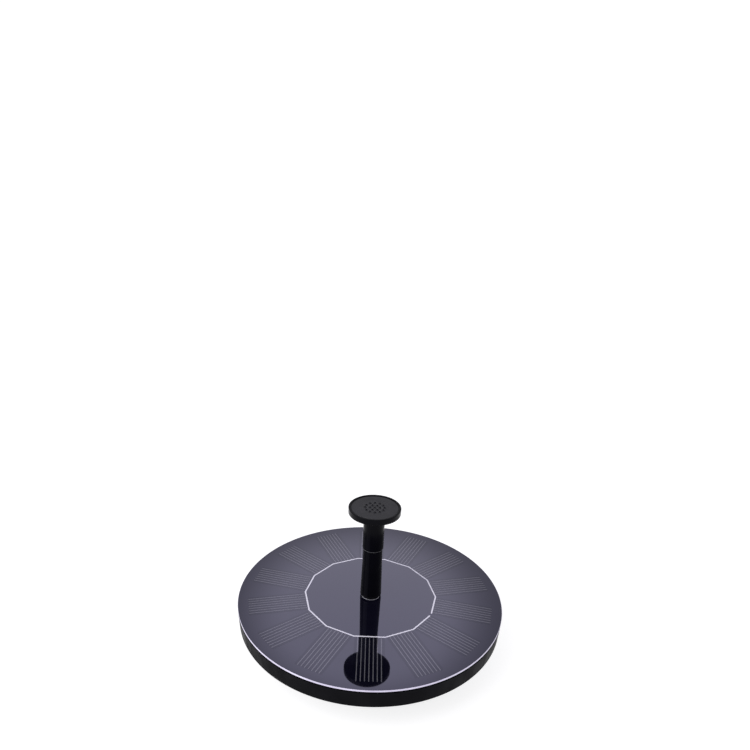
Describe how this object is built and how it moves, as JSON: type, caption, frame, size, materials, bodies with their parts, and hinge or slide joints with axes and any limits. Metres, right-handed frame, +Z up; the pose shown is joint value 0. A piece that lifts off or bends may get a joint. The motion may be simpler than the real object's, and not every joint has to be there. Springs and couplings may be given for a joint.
{
  "type": "solar fountain pump",
  "caption": "Round black floating solar panel with a central tube and wide flat spray nozzle, over a submerged centrifugal pump in a slotted strainer.",
  "frame": {"origin": "centre of the strainer's underside, on which the fountain rests out of the water", "axes": "+Z up along the tube and nozzle, +X from the tube towards the pump's rotor, +Y to complete the frame"},
  "size_m": [0.16, 0.16, 0.0915],
  "materials": {
    "clear_sheet": "clear glossy sheet",
    "board": "black solder mask",
    "ribbon": "tinned ribbon",
    "cell": "near-black silicon",
    "shell": "moulded, satin gloss",
    "foam": "closed-cell foam",
    "pump": "moulded, fine grain",
    "steel_stack": "stacked sheet steel",
    "copper": "enamelled copper wire",
    "driver": "green solder mask",
    "chip": "moulded epoxy",
    "can": "drawn can",
    "red_lead": "insulation",
    "black_lead": "insulation",
    "impeller": "moulded, satin",
    "magnet": "sintered ferrite",
    "ceramic": "polished ceramic",
    "bush": "soft rubber",
    "collar": "smooth rubber",
    "nozzle": "moulded, glossy"
  },
  "bodies": {
    "float": {"float_shell": "shell", "foam_ring": "foam", "clear_front_sheet": "clear_sheet", "panel_board": "board", "bus_ribbon": "ribbon", "solar_cell_01": "cell", "solar_cell_02": "cell", "solar_cell_03": "cell", "solar_cell_04": "cell", "solar_cell_05": "cell", "solar_cell_06": "cell", "solar_cell_07": "cell", "solar_cell_08": "cell", "solar_cell_09": "cell", "solar_cell_10": "cell", "solar_cell_11": "cell", "solar_cell_12": "cell", "solar_cell_13": "cell", "solar_cell_14": "cell", "pump_body": "pump", "stator_core": "steel_stack", "stator_coil_01": "copper", "stator_coil_02": "copper", "stator_coil_03": "copper", "stator_coil_04": "copper", "driver_board": "driver", "driver_chip": "chip", "smoothing_capacitor": "can", "positive_lead": "red_lead", "negative_lead": "black_lead", "stator_lead_01": "copper", "stator_lead_02": "copper", "upper_bush": "bush", "outlet_seal_collar": "collar"},
    "pump_cover": {"impeller_cover": "pump", "rotor_shaft": "ceramic", "lower_bush": "bush"},
    "rotor": {"impeller": "impeller", "rotor_magnet": "magnet"},
    "strainer": {"strainer_cover": "pump"},
    "tube": {"extension_tube": "nozzle"},
    "nozzle": {"nozzle_body": "nozzle", "spray_plate": "nozzle"}
  },
  "joints": [
    {"name": "cover_pull", "type": "slide", "parent": "float", "child": "pump_cover", "axis": [0, 0, -1], "range_m": [0, 0.02]},
    {"name": "rotor_spin", "type": "hinge", "parent": "pump_cover", "child": "rotor", "pos_m": [0.0182, 0, 0.012], "axis": [0, 0, 1], "continuous": true},
    {"name": "strainer_pull", "type": "slide", "parent": "pump_cover", "child": "strainer", "axis": [0, 0, -1], "range_m": [0, 0.02]},
    {"name": "tube_pull", "type": "slide", "parent": "float", "child": "tube", "axis": [0, 0, 1], "range_m": [0, 0.012]},
    {"name": "nozzle_pull", "type": "slide", "parent": "tube", "child": "nozzle", "axis": [0, 0, 1], "range_m": [0, 0.012]}
  ]
}
